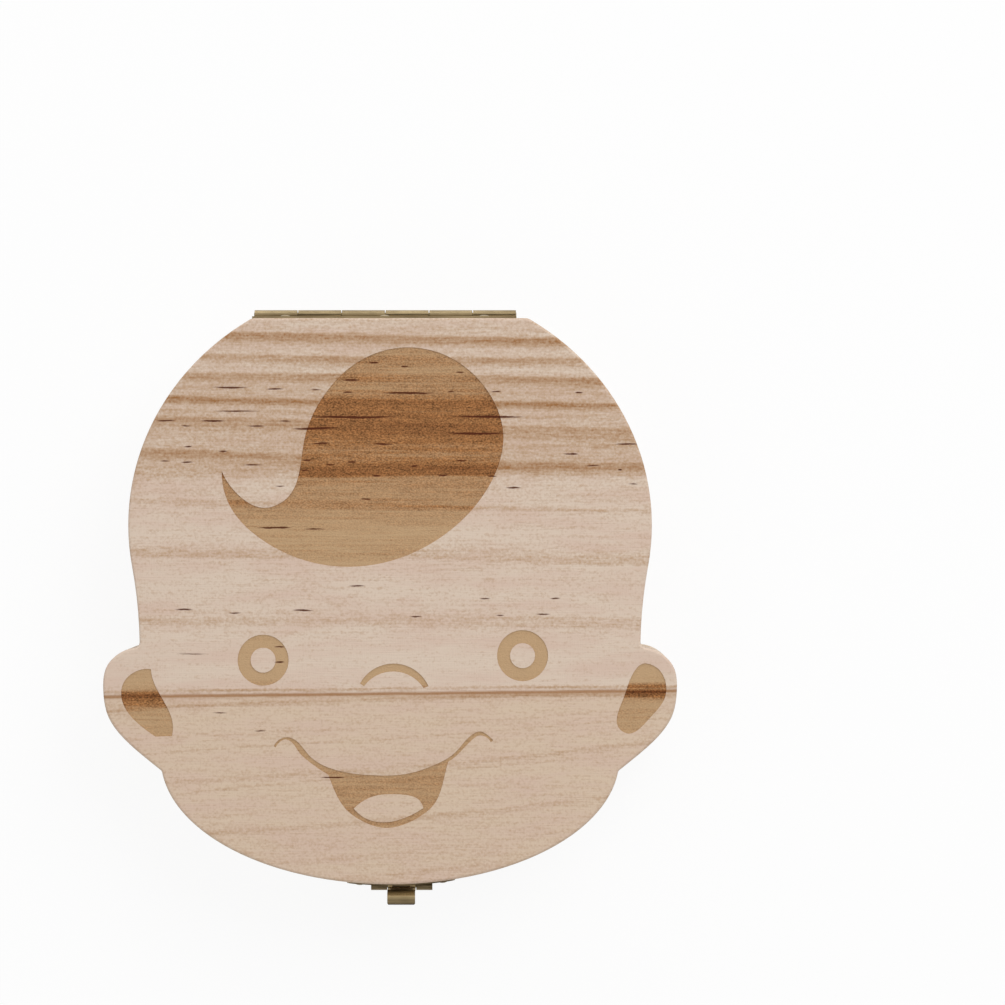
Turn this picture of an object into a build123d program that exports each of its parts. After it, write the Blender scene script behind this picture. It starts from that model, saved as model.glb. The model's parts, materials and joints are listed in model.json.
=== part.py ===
from build123d import *
from math import asin, degrees, sqrt
import os

# Keepsake box for milk teeth, cut to the outline of a child's head.
# Seen from above, X runs to the right, Y to the crown and Z up.
# The origin is in the middle of the underside.

# Head outline
head_length = 113.3
ear_span = 114.8
rear_edge_width = 55.2
crown_width = 104.8
crown_rise = 48.7
temple_width = 100.2
chin_width = 91.8
chin_drop = 25.2
upper_notch_radius = 1.2
lower_notch_radius = 0.8
rear_corner_radius = 2.0
temple_angle = 9.75
upper_notch_share = -0.164
lower_notch_share = -0.600
ear_shares = ((0.944, -0.184), (0.988, -0.231), (1.0, -0.314), (0.983, -0.406), (0.930, -0.483))

# Thicknesses and eased edges of the wood
base_height = 15.0
lid_height = 10.0
outer_ease = 0.5
hinge_ease = 0.5

# The lid is glued up from two boards that meet on a slightly slanted line
glue_line_y = -18.4
glue_line_tilt = 0.6

# Laser engraving
lid_engraving_depth = 0.15
base_engraving_depth = 0.15
guide_line_width = 0.45
digit_width = 1.45
digit_height = 2.1
digit_gap = 0.6
number_stroke = 0.36

# Tooth holes and the two pockets of the base
molar_diameter = 9.2
front_tooth_diameter = 7.7
tooth_hole_depth = 10.0
pocket_depth = 10.5
pocket_center_x = 0.5
apple_width = 27.0
apple_length = 26.3
apple_center_y = 12.15
heart_width = 23.8
heart_length = 23.0
heart_center_y = -20.6

# Rolled sheet hinge on the rear edge
sheet = 0.45
running_clearance = 0.05
hinge_length = 53.0
hinge_center_x = -1.2
hinge_leaf_height = 8.0
hinge_pin_diameter = 0.9
hinge_axis_offset = 1.05
knuckle_count = 6
knuckle_gap = 0.18
knuckle_window = 0.3
seam_width = 0.16
hinge_nail_pitch = 20.0

# Latch on the chin
latch_center_x = 2.1
latch_plate_width = 21.7
latch_plate_height = 6.8
latch_plate_corner = 1.4
latch_nail_pitch = 16.8
latch_pin_diameter = 0.8
latch_axis_offset = 1.2
latch_axis_drop = 1.5
latch_barrel_length = 12.4
latch_tongue_width = 5.6
latch_knuckle_gap = 0.15
plate_parting_gap = 0.3
tongue_rise = 4.3
tongue_curl_radius = 1.35
tongue_curl_angle = 155.0
tongue_waist = 4.0
tongue_waist_radius = 1.7
tongue_corner = 0.6
catch_nose_radius = 0.65
catch_nose_width = 3.6
catch_nose_rise = 2.6

# Nails
nail_shank_diameter = 1.0
nail_head_diameter = 2.0
nail_head_height = 0.4
nail_length = 6.0
nail_point = 1.0
nail_rim_share = 0.3
nail_shoulder_shares = (0.55, 0.82)
leaf_hole_clearance = 0.06
pilot_clearance = 0.03
head_seat_gap = 0.02

# One overrun serves every cut that has to break through a face
overrun = 1.0

# Places, as shares of the head's length
tooth_shares = (
    (0.138, 0.380), (0.233, 0.324), (0.301, 0.250), (0.333, 0.173), (0.337, 0.089),
    (0.339, -0.001), (0.309, -0.085), (0.273, -0.169), (0.236, -0.269), (0.177, -0.372),
)
molar_rows = (0, 1, 8, 9)
guide_y_shares = (0.394, 0.316, 0.243, 0.167, 0.076, -0.015, -0.103, -0.194, -0.291, -0.391)
guide_inner_shares = (0, 0, 0.150, 0.132, 0.124, 0.090, 0.102, 0.106, 0.064, 0.053)
number_shares = (
    (0.249, 0.402, "1", "11"), (0.342, 0.327, "2", "12"), (0.390, 0.242, "3", "13"),
    (0.376, -0.199, "8", "18"), (0.331, -0.295, "9", "19"), (0.275, -0.390, "10", "20"),
)
side_number_shares = (0.421, 0.006)
apple_number_share = 0.249
heart_number_share = -0.366
bracket_shares = ((0.387, 0.153), (0.398, 0.149), (0.402, 0.048), (0.370, -0.117), (0.356, -0.123))

# Bars of a plain number: shares of the digit's width and height, and whether the bar is upright
bar_shares = {
    "top": (0, 0.5, False), "middle": (0, 0, False), "low": (0, -0.5, False),
    "upper left": (-0.5, 0.25, True), "upper right": (0.5, 0.25, True),
    "lower left": (-0.5, -0.25, True), "lower right": (0.5, -0.25, True),
}
right_bars = ("upper right", "lower right")
digit_bars = {
    "-": ("middle",),
    "0": ("top", "low", "upper left", "lower left", *right_bars),
    "1": right_bars,
    "2": ("top", "upper right", "middle", "lower left", "low"),
    "3": ("top", "middle", "low", *right_bars),
    "4": ("upper left", "middle", *right_bars),
    "5": ("top", "upper left", "middle", "lower right", "low"),
    "6": ("top", "upper left", "middle", "lower left", "lower right", "low"),
    "7": ("top", *right_bars),
    "8": ("top", "middle", "low", "upper left", "lower left", *right_bars),
    "9": ("top", "middle", "low", "upper left", *right_bars),
}

# Pocket outlines, right half from the upper notch to the lower end,
# as shares of the pocket's half width and of its length
apple_shares = (
    (0, 0.40), (0.50, 0.50), (1.0, 0.11), (0.87, -0.12), (0.62, -0.39), (0.37, -0.50), (0, -0.45),
)
heart_shares = (
    (0, 0.41), (0.47, 0.50), (1.0, 0.17), (0.93, -0.05), (0.73, -0.22), (0.40, -0.42), (0, -0.50),
)

# Engraved face, as shares of the head's length
hair_shares = (
    (-0.297, 0.230), (-0.274, 0.154), (-0.216, 0.102), (-0.126, 0.066), (-0.011, 0.068),
    (0.097, 0.118), (0.169, 0.194), (0.200, 0.295), (0.162, 0.385), (0.094, 0.436),
    (0.011, 0.447), (-0.065, 0.417), (-0.119, 0.360), (-0.150, 0.291), (-0.159, 0.234),
    (-0.180, 0.184), (-0.223, 0.165), (-0.267, 0.187), (-0.297, 0.230),
)
eye_shares = ((-0.224, -0.104), (0.234, -0.096))
eye_diameter = 10.2
pupil_diameter = 5.0
nose_top_shares = ((-0.053, -0.145), (0.008, -0.110), (0.068, -0.150))
nose_low_shares = ((0.059, -0.153), (0.008, -0.124), (-0.046, -0.150))
smile_shares = (
    (-0.205, -0.256), (-0.195, -0.244), (-0.182, -0.240), (-0.169, -0.244), (-0.142, -0.273),
    (-0.102, -0.296), (-0.034, -0.307), (0.033, -0.304), (0.081, -0.288), (0.115, -0.267),
    (0.147, -0.234), (0.158, -0.230), (0.172, -0.236), (0.182, -0.245),
)
right_corner_shares = (
    (0.178, -0.249), (0.168, -0.239), (0.157, -0.237),
    (0.148, -0.242), (0.117, -0.273), (0.103, -0.283),
)
mouth_right_shares = ((0.103, -0.283), (0.095, -0.314), (0.085, -0.346), (0.068, -0.369))
mouth_low_shares = (
    (0.068, -0.369), (0.025, -0.394), (-0.011, -0.400), (-0.043, -0.391),
    (-0.079, -0.366), (-0.099, -0.332), (-0.109, -0.306),
)
left_corner_shares = (
    (-0.109, -0.306), (-0.142, -0.284), (-0.161, -0.266), (-0.176, -0.247),
    (-0.184, -0.244), (-0.195, -0.249), (-0.202, -0.258),
)
tongue_top_shares = (
    (-0.064, -0.366), (-0.024, -0.343), (0.018, -0.341), (0.049, -0.349), (0.059, -0.365),
)
tongue_low_shares = ((0.059, -0.365), (0.022, -0.384), (-0.019, -0.390), (-0.064, -0.366))
left_ear_outer_shares = (
    (-0.422, -0.120), (-0.449, -0.124), (-0.471, -0.145),
    (-0.474, -0.171), (-0.447, -0.214), (-0.414, -0.239),
)
left_ear_inner_shares = ((-0.385, -0.238), (-0.387, -0.202), (-0.410, -0.158), (-0.422, -0.120))
right_ear_shares = (
    (0.453, -0.110), (0.480, -0.127), (0.487, -0.164), (0.458, -0.207),
    (0.417, -0.233), (0.405, -0.225), (0.413, -0.169), (0.431, -0.124),
)

# Derived places
half_length = head_length / 2
half_span = ear_span / 2
lid_top = base_height + lid_height
crown_center_y = half_length - crown_rise * sqrt(1 - (rear_edge_width / crown_width) ** 2)
chin_center_y = chin_drop - half_length
chin_half_width = chin_width / 2
hinge_axis_y = half_length + hinge_axis_offset
hinge_barrel_radius = hinge_pin_diameter / 2 + running_clearance + sheet
knuckle_pitch = hinge_length / knuckle_count
hinge_start_x = hinge_center_x - hinge_length / 2
latch_axis_y = -half_length - latch_axis_offset
latch_axis_z = base_height - latch_axis_drop
latch_bore_radius = latch_pin_diameter / 2 + running_clearance
latch_barrel_radius = latch_bore_radius + sheet
tongue_mid_radius = latch_bore_radius + sheet / 2


def places(shares):
    """Points on the head's plan from shares of the head's length."""
    return [(across * head_length, along * head_length) for across, along in shares]


def head_outline():
    """Plan of the box: flat rear edge, crown, temples, ears and chin."""
    rear_angle = degrees(asin(sqrt(1 - (rear_edge_width / crown_width) ** 2)))
    crown_arc = rear_angle + temple_angle
    crown = EllipticalCenterArc(
        (0, crown_center_y), crown_width / 2, crown_rise, -temple_angle, arc_size=crown_arc
    )
    upper_notch = (temple_width / 2, upper_notch_share * half_length)
    temple = TangentArc(crown @ 0, upper_notch, tangent=(crown % 0) * -1)
    chin_angle = degrees(asin((lower_notch_share * half_length - chin_center_y) / chin_drop))
    chin = EllipticalCenterArc(
        (0, chin_center_y), chin_half_width, chin_drop, -90, arc_size=90 + chin_angle
    )
    ear_points = [(across * half_span, along * half_length) for across, along in ear_shares]
    ear = Spline(upper_notch, *ear_points, chin @ 1)
    rear_edge = Line(crown @ 1, (0, half_length))
    middle = Line((0, half_length), chin @ 0)
    half = make_face([crown, temple, ear, chin, rear_edge, middle])
    corners = (
        (upper_notch, upper_notch_radius),
        (chin @ 1, lower_notch_radius),
        (crown @ 1, rear_corner_radius),
    )
    for place, radius in corners:
        corner = half.vertices().sort_by_distance(place)[0]
        half = fillet(corner, radius)
    return half + mirror(half, about=Plane.YZ)


def ease_hinge_edge(wood):
    """Break the straight rear edge at the parting face, clear of the hinge barrel."""
    straight = wood.edges().filter_by(Axis.X)
    parting = straight.sort_by(lambda edge: abs(edge.center().Z - base_height))[0]
    return chamfer(parting, hinge_ease)


def mirrored_pocket(shares, width, length, center_y):
    """Outline of a pocket: one smooth closed curve, the same on both sides."""
    right = [(across * width / 2, along * length) for across, along in shares]
    left = [(-across, along) for across, along in right[-2:0:-1]]
    return Pos(pocket_center_x, center_y) * make_face(Spline(*right, *left, periodic=True))


def number_face(number):
    """One number in plain straight bars, centred on the origin."""
    pitch = digit_width + digit_gap
    bars = []
    for order, digit in enumerate(number):
        middle_x = (order - (len(number) - 1) / 2) * pitch
        for bar in digit_bars[digit]:
            across, along, upright = bar_shares[bar]
            width = number_stroke if upright else digit_width
            height = digit_height / 2 + number_stroke / 2 if upright else number_stroke
            place = Pos(middle_x + across * (digit_width - number_stroke), along * digit_height)
            bars.append(place * Rectangle(width, height))
    return Sketch() + bars


def engraved_numbers():
    """Plain numbers beside the tooth holes and the pockets."""
    marks = []
    for across, along, left_number, right_number in number_shares:
        marks.append((-across, along, 0, left_number))
        marks.append((across, along, 0, right_number))
    side_x, side_y = side_number_shares
    marks.append((-side_x, side_y, -90, "4-7"))
    marks.append((side_x, side_y, -90, "14-17"))
    marks.append((0, apple_number_share, 0, "21"))
    marks.append((0, heart_number_share, -90, "22"))
    faces = []
    for across, along, turn, number in marks:
        place = Pos(across * head_length, along * head_length) * Rot(0, 0, turn)
        faces += (place * number_face(number)).faces()
    return faces


def guide_lines():
    """Engraved lines from each tooth hole towards the middle, and the side brackets."""
    faces = []
    for row, (across, along) in enumerate(tooth_shares):
        line_y = guide_y_shares[row] * head_length
        rise = line_y - along * head_length
        half_chord = sqrt((tooth_diameter(row) / 2) ** 2 - rise**2)
        outer = across * head_length - half_chord + guide_line_width
        inner = guide_inner_shares[row] * head_length
        if inner == 0:
            faces.append(Pos(0, line_y) * Rectangle(outer * 2, guide_line_width))
            continue
        for side in (-1, 1):
            middle_x = side * (outer + inner) / 2
            faces.append(Pos(middle_x, line_y) * Rectangle(outer - inner, guide_line_width))
    for side in (-1, 1):
        tick, top, middle, low, end = [(side * across, along) for across, along in places(bracket_shares)]
        bracket = [Line(tick, top), ThreePointArc(top, middle, low), Line(low, end)]
        faces += trace(bracket, guide_line_width).faces()
    return faces


def tooth_diameter(row):
    """Molars and front teeth have holes of two sizes."""
    return molar_diameter if row in molar_rows else front_tooth_diameter


def tooth_holes():
    holes = []
    for row, (across, along) in enumerate(tooth_shares):
        hole = Cylinder(tooth_diameter(row) / 2, tooth_hole_depth * 2)
        for side in (-1, 1):
            place = Pos(side * across * head_length, along * head_length, base_height)
            holes.append(place * hole)
    return holes


def apple_outline():
    return mirrored_pocket(apple_shares, apple_width, apple_length, apple_center_y)


def heart_outline():
    return mirrored_pocket(heart_shares, heart_width, heart_length, heart_center_y)


def base_block():
    block = extrude(head_outline(), base_height)
    block = fillet(block.edges().group_by(Axis.Z)[0], outer_ease)
    block = ease_hinge_edge(block)
    block -= tooth_holes()
    for pocket in (apple_outline(), heart_outline()):
        block -= Pos(0, 0, base_height) * extrude(pocket, -pocket_depth)
    engraving = guide_lines() + engraved_numbers()
    block -= [Pos(0, 0, base_height) * extrude(face, -base_engraving_depth) for face in engraving]
    return block - [pilot_hole(plane) for plane in hinge_nail_planes(-1) + latch_nail_planes(-1)]


def hair_outline():
    return make_face(Spline(*places(hair_shares)))


def mouth_outline():
    smile = Spline(*places(smile_shares))
    right_corner = Spline(*places(right_corner_shares))
    mouth_right = Spline(*places(mouth_right_shares))
    mouth_low = Spline(*places(mouth_low_shares))
    left_corner = Spline(*places(left_corner_shares))
    right_end = Line(smile @ 1, right_corner @ 0)
    left_end = Line(left_corner @ 1, smile @ 0)
    mouth = make_face([smile, right_end, right_corner, mouth_right, mouth_low, left_corner, left_end])
    return mouth - make_face([Spline(*places(tongue_top_shares)), Spline(*places(tongue_low_shares))])


def ear_outlines():
    outer = Spline(*places(left_ear_outer_shares))
    inner = Spline(*places(left_ear_inner_shares))
    left = make_face([outer, Line(outer @ 1, inner @ 0), inner])
    return left, make_face(Spline(*places(right_ear_shares), periodic=True))


def nose_outline():
    top = ThreePointArc(*places(nose_top_shares))
    low = ThreePointArc(*places(nose_low_shares))
    return make_face([top, Line(top @ 1, low @ 0), low, Line(low @ 1, top @ 0)])


def eye_rings():
    ring = Circle(eye_diameter / 2) - Circle(pupil_diameter / 2)
    return [Pos(x, y) * ring for x, y in places(eye_shares)]


def engraved_lid():
    """The whole lid before it is parted along its glue line."""
    lid = Pos(0, 0, base_height) * extrude(head_outline(), lid_height)
    lid = fillet(lid.edges().group_by(Axis.Z)[-1], outer_ease)
    lid = ease_hinge_edge(lid)
    art = [hair_outline(), mouth_outline(), *ear_outlines(), nose_outline(), *eye_rings()]
    lid -= [Pos(0, 0, lid_top) * extrude(face, -lid_engraving_depth) for face in art]
    return lid - [pilot_hole(plane) for plane in hinge_nail_planes(1) + latch_nail_planes(1)]


def lid_boards():
    """Rear and front board of the lid, glued edge to edge."""
    lid = engraved_lid()
    across_glue = Vector(0, 1, 0).rotate(Axis.Z, glue_line_tilt)
    glue_plane = Plane((0, glue_line_y, 0), z_dir=across_glue)
    rear = split(lid, glue_plane, keep=Keep.TOP)
    front = split(lid, glue_plane, keep=Keep.BOTTOM)
    return rear, front


def nail():
    """Round nail with a domed head; its seat is the XY plane, its point towards -Z."""
    shank_radius = nail_shank_diameter / 2
    head_radius = nail_head_diameter / 2
    rim_height = nail_head_height * nail_rim_share
    crest = (0, 0, nail_head_height)
    rim = (head_radius, 0, rim_height)
    shoulder_x = head_radius * nail_shoulder_shares[0]
    shoulder_z = nail_head_height * nail_shoulder_shares[1]
    dome = ThreePointArc(crest, (shoulder_x, 0, shoulder_z), rim)
    side = Polyline(
        rim,
        (head_radius, 0, 0),
        (shank_radius, 0, 0),
        (shank_radius, 0, nail_point - nail_length),
        (0, 0, -nail_length),
        crest,
    )
    return revolve(make_face([dome, *side.edges()]), Axis.Z)


def pilot_hole(plane):
    """Hole in the wood for one nail, from outside its face to past its point."""
    depth = nail_length + overrun
    hole = Cylinder(
        nail_shank_diameter / 2 + pilot_clearance,
        depth + overrun,
        align=(Align.CENTER, Align.CENTER, Align.MIN),
    )
    return plane * Pos(0, 0, -depth) * hole


def leaf_hole(plane):
    """Clearance hole through the sheet under one nail head."""
    return plane * Cylinder(nail_shank_diameter / 2 + leaf_hole_clearance, (sheet + overrun) * 2)


def hinge_nail_planes(side):
    """Nail seats on a hinge leaf: side is 1 on the lid and -1 on the base."""
    seat_y = half_length + sheet + head_seat_gap
    seat_z = base_height + side * (hinge_barrel_radius + hinge_leaf_height) / 2
    return [
        Plane((hinge_center_x + step * hinge_nail_pitch, seat_y, seat_z), z_dir=(0, 1, 0))
        for step in (-1, 0, 1)
    ]


def chin_normal(x):
    """Point of the chin's edge at x, and the direction straight out of it."""
    drop = chin_drop * sqrt(1 - (x / chin_half_width) ** 2)
    normal = Vector(x / chin_half_width**2, -drop / chin_drop**2, 0).normalized()
    return Vector(x, chin_center_y - drop, 0), normal


def plate_center_z(side):
    return base_height + side * (plate_parting_gap + latch_plate_height / 2)


def latch_nail_planes(side):
    """Nail seats on a latch plate: side is 1 on the lid and -1 on the base."""
    planes = []
    for step in (-1, 1):
        point, normal = chin_normal(latch_center_x + step * latch_nail_pitch / 2)
        seat = point + normal * (sheet + head_seat_gap) + Vector(0, 0, plate_center_z(side))
        planes.append(Plane(seat, z_dir=normal))
    return planes


def hinge_leaf(side):
    """One leaf: flat plate on the rear face with every second knuckle rolled from it."""
    leaf_middle_z = base_height + side * hinge_leaf_height / 2
    leaf_middle_y = half_length + sheet / 2
    plate = Box(hinge_length, sheet, hinge_leaf_height)
    leaf = Pos(hinge_center_x, leaf_middle_y, leaf_middle_z) * plate
    own_knuckle = 0 if side < 0 else 1
    for knuckle in range(knuckle_count):
        middle_x = hinge_start_x + (knuckle + 0.5) * knuckle_pitch
        place = Pos(middle_x, hinge_axis_y, base_height)
        if knuckle % 2 == own_knuckle:
            barrel = Cylinder(hinge_barrel_radius, knuckle_pitch - knuckle_gap)
            bore = Cylinder(hinge_barrel_radius - sheet, knuckle_pitch)
            seam = Box(knuckle_pitch, seam_width, hinge_barrel_radius * 2)
            leaf += place * Rot(0, 90, 0) * barrel
            leaf -= place * Rot(0, 90, 0) * bore
            leaf -= place * Pos(0, 0, side * hinge_barrel_radius) * seam
        else:
            window_height = (hinge_barrel_radius + knuckle_window) * 2
            window = Box(knuckle_pitch + knuckle_gap, hinge_axis_offset * 2, window_height)
            leaf -= place * window
    for plane in hinge_nail_planes(side):
        leaf -= leaf_hole(plane)
    return leaf


def hinge_pin():
    pin = Cylinder(hinge_pin_diameter / 2, hinge_length)
    return Pos(hinge_center_x, hinge_axis_y, base_height) * Rot(0, 90, 0) * pin


def chin_sheet(side):
    """Plate bent to the chin's curve, with rounded corners and two nail holes."""
    outer = Ellipse(chin_half_width + sheet, chin_drop + sheet)
    inner = Ellipse(chin_half_width, chin_drop)
    low_z = plate_center_z(side) - latch_plate_height / 2
    band = Pos(0, chin_center_y, low_z) * extrude(outer - inner, latch_plate_height)
    front = RectangleRounded(latch_plate_width, latch_plate_height, latch_plate_corner)
    window = extrude(Plane.XZ * front, chin_drop + sheet + overrun)
    plate = band & (Pos(latch_center_x, chin_center_y, plate_center_z(side)) * window)
    for plane in latch_nail_planes(side):
        plate -= leaf_hole(plane)
    return plate


def chin_wood():
    """The wood behind the latch plates, as a full ellipse."""
    return Pos(0, chin_center_y) * extrude(Ellipse(chin_half_width, chin_drop), lid_top)


def latch_base_plate():
    """Plate on the base with the two outer knuckles of the latch rolled from it."""
    plate = chin_sheet(-1)
    knuckle_length = (latch_barrel_length - latch_tongue_width) / 2 - latch_knuckle_gap
    offset = (latch_barrel_length - knuckle_length) / 2
    lug_height = latch_barrel_radius + sheet
    lug_front_y = latch_axis_y + latch_bore_radius
    window = Box(
        latch_tongue_width + latch_knuckle_gap * 2,
        (latch_axis_offset + overrun) * 2,
        (latch_axis_drop + lug_height) * 2,
    )
    plate -= Pos(latch_center_x, latch_axis_y, base_height) * window
    axis = Pos(latch_center_x, latch_axis_y, latch_axis_z)
    lug_align = (Align.CENTER, Align.MIN, Align.MAX)
    lug = Box(knuckle_length, latch_axis_offset, lug_height, align=lug_align)
    barrel = Rot(0, 90, 0) * Cylinder(latch_barrel_radius, knuckle_length)
    for step in (-1, 1):
        lug_x = latch_center_x + step * offset
        plate += Pos(lug_x, lug_front_y, latch_axis_z) * lug - chin_wood()
        plate += axis * Pos(step * offset, 0, 0) * barrel
    bore = Cylinder(latch_bore_radius, latch_barrel_length + overrun)
    return plate - axis * Rot(0, 90, 0) * bore


def latch_pin():
    pin = Cylinder(latch_pin_diameter / 2, latch_barrel_length)
    return Pos(latch_center_x, latch_axis_y, latch_axis_z) * Rot(0, 90, 0) * pin


def latch_tongue():
    """Swinging strip: rolled on the pin, waisted, and curled outwards at its end."""
    inner_radius = tongue_curl_radius - sheet / 2
    outer_radius = tongue_curl_radius + sheet / 2
    curl_center = (-tongue_mid_radius - tongue_curl_radius, tongue_rise)
    strip = Pos(-tongue_mid_radius, tongue_rise / 2) * Rectangle(sheet, tongue_rise)
    curl = Circle(outer_radius) - Circle(inner_radius)
    curl &= curl_sector(outer_radius)
    profile = Circle(latch_barrel_radius) + strip + Pos(*curl_center) * curl
    profile -= Circle(latch_bore_radius)
    blank = extrude(Plane.YZ * profile, latch_tongue_width / 2, both=True)
    waist_x = tongue_waist / 2 + tongue_waist_radius
    waist = Rot(90, 0, 0) * Cylinder(tongue_waist_radius, head_length)
    for step in (-1, 1):
        blank -= Pos(step * waist_x, 0, tongue_rise / 2 + latch_barrel_radius / 2) * waist
    reach = tongue_mid_radius + tongue_curl_radius + outer_radius
    plan = RectangleRounded(latch_tongue_width, reach * 2, tongue_corner)
    blank &= extrude(plan, tongue_rise * 2, both=True)
    return Pos(latch_center_x, latch_axis_y, latch_axis_z) * blank


def curl_sector(radius):
    """Pie slice that keeps the curl from the strip's side over the top to its end."""
    reach = radius * 2
    arc = CenterArc((0, 0), reach, 0, tongue_curl_angle)
    return make_face([arc, Line((0, 0), arc @ 0), Line(arc @ 1, (0, 0))])


def latch_catch_plate():
    """Plate on the lid with the rounded nose that the tongue snaps past."""
    plate = chin_sheet(1)
    nose_z = base_height + plate_parting_gap + catch_nose_rise
    nose_y = chin_normal(latch_center_x)[0].Y - sheet
    nose = Rot(0, 90, 0) * Cylinder(catch_nose_radius, catch_nose_width)
    nose = Pos(latch_center_x, nose_y, nose_z) * nose
    return plate + (nose - chin_wood())


def nails(planes):
    return [plane * nail() for plane in planes]


def write_parts():
    rear_board, front_board = lid_boards()
    parts = {
        "base_block": base_block(),
        "lid_board_rear": rear_board,
        "lid_board_front": front_board,
        "hinge_leaf_base": hinge_leaf(-1),
        "hinge_leaf_lid": hinge_leaf(1),
        "hinge_pin": hinge_pin(),
        "latch_base_plate": latch_base_plate(),
        "latch_tongue": latch_tongue(),
        "latch_pin": latch_pin(),
        "latch_catch_plate": latch_catch_plate(),
    }
    nail_groups = {
        "hinge_nail_base": hinge_nail_planes(-1),
        "hinge_nail_lid": hinge_nail_planes(1),
        "latch_nail": latch_nail_planes(-1),
        "catch_nail": latch_nail_planes(1),
    }
    for name, planes in nail_groups.items():
        for number, shape in enumerate(nails(planes), start=1):
            parts[f"{name}_{number}"] = shape
    os.makedirs("parts", exist_ok=True)
    for name, shape in parts.items():
        export_step(shape, f"parts/{name}.step")


write_parts()
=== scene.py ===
"""Looks of the wooden tooth box: pine boards, laser engraving, antique brass and the stage.

The frame holds the box's solids in metres, lid shut, chin towards -Y and +Z up.
Patterns are worked out in millimetres from the Object coordinates.
"""

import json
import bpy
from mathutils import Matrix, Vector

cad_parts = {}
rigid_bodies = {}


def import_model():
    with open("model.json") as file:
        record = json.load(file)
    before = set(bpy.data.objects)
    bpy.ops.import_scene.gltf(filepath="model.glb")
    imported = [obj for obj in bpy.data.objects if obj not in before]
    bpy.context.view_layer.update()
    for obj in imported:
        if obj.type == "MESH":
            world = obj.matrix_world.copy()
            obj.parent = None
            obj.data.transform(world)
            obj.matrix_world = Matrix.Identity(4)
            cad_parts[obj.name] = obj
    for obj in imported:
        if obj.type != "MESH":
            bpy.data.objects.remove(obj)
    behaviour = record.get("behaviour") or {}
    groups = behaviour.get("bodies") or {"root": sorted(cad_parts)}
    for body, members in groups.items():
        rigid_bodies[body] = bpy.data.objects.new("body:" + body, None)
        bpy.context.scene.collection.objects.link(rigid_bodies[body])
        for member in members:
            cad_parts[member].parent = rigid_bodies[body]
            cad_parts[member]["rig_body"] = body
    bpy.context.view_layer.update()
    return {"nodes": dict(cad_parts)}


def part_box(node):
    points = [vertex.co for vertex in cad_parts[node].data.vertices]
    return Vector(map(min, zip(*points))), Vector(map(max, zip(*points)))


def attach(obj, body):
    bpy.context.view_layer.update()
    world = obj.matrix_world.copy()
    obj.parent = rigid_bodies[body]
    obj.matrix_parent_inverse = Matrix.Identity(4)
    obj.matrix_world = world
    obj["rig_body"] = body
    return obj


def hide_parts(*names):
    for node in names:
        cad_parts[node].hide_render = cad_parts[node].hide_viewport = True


bl_info = {
    "name": "Tooth box looks",
    "version": (1, 0, 0),
    "blender": (4, 5, 0),
    "location": "View3D > Sidebar > Tooth box",
    "description": "Dresses the tooth box in pine and antique brass and sets its stage",
    "category": "Object",
}

from math import radians

import bmesh
import bpy
from bpy.props import FloatProperty, FloatVectorProperty, PointerProperty
from mathutils import Vector

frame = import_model()


def shade(red, green, blue):
    """Linear colour of a shade that is given in screen values from 0 to 255."""
    return tuple(((value / 255 + 0.055) / 1.055) ** 2.4 for value in (red, green, blue))


MM = 1000  # millimetres in a metre

# Heights of the upper faces in metres, read from the frame
base_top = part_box("base_block")[1].z
lid_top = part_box("lid_board_rear")[1].z

# A profile of tone or burn runs over these places along Y in mm, and goes this far below 0
PROFILE_START = -60.0
PROFILE_END = 60.0
PROFILE_DEPTH = 0.2

# Growth rings of each board: where the ring's sharp edge runs, in mm along Y at the left,
# in the middle and at the right, then its depth of tone and the width of its fade in mm.
# A fade above 0 runs towards the chin. Left and right are as far out as the span says.
RING_SPAN = 50
REAR_RINGS = (
    (54.4, 53.3, 52.7, 0.54, 3.1), (50.1, 49.0, 48.8, 0.40, 2.5), (46.0, 45.6, 44.5, 0.47, 2.6),
    (43.2, 42.2, 41.9, 0.10, 1.0), (41.3, 40.3, 39.6, 0.50, 2.2), (38.9, 37.9, 37.0, 0.12, 1.4),
    (37.2, 36.0, 34.4, 0.34, 3.8), (33.4, 32.2, 31.4, 0.12, 1.6), (30.8, 28.8, 27.6, 0.32, 3.0),
    (24.0, 24.8, 25.0, 0.10, -4.4), (20.8, 19.6, 18.6, 0.20, 1.6), (8.6, 8.2, 6.9, 0.24, -3.6),
    (-1.4, -2.4, -3.3, 0.10, 1.0), (-5.0, -4.9, -5.9, 0.20, -3.2), (-18.3, -17.7, -17.5, 0.44, -0.9),
)
FRONT_RINGS = (
    (-21.9, -19.7, -19.2, 0.32, -1.0), (-22.4, -20.2, -19.6, 0.14, -4.0), (-27.3, -24.8, -21.6, 0.14, 0.7),
    (-30.4, -27.1, -23.6, 0.22, 0.6), (-35.9, -32.9, -27.7, 0.20, 1.8), (-39.1, -34.4, -30.2, 0.22, 0.6),
    (-46.7, -43.1, -37.9, 0.20, 1.8), (-54.4, -50.1, -43.6, 0.14, 0.8), (-60.0, -54.2, -49.5, 0.10, 1.6),
)
BASE_RINGS = (
    (52.0, 51.4, 50.6, 0.22, 2.0), (46.6, 46.0, 45.0, 0.26, 2.6), (38.8, 38.2, 37.2, 0.22, 2.2),
    (31.4, 31.0, 30.2, 0.20, 2.0), (23.0, 22.4, 21.4, 0.24, 2.4), (14.6, 14.0, 13.0, 0.18, 2.6),
    (5.0, 4.2, 3.0, 0.20, 2.4), (-5.0, -6.0, -7.6, 0.30, 1.8), (-17.2, -18.4, -20.2, 0.20, 2.6),
    (-30.6, -32.0, -34.0, 0.18, 2.4), (-44.2, -45.6, -47.8, 0.18, 2.2),
)
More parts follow.
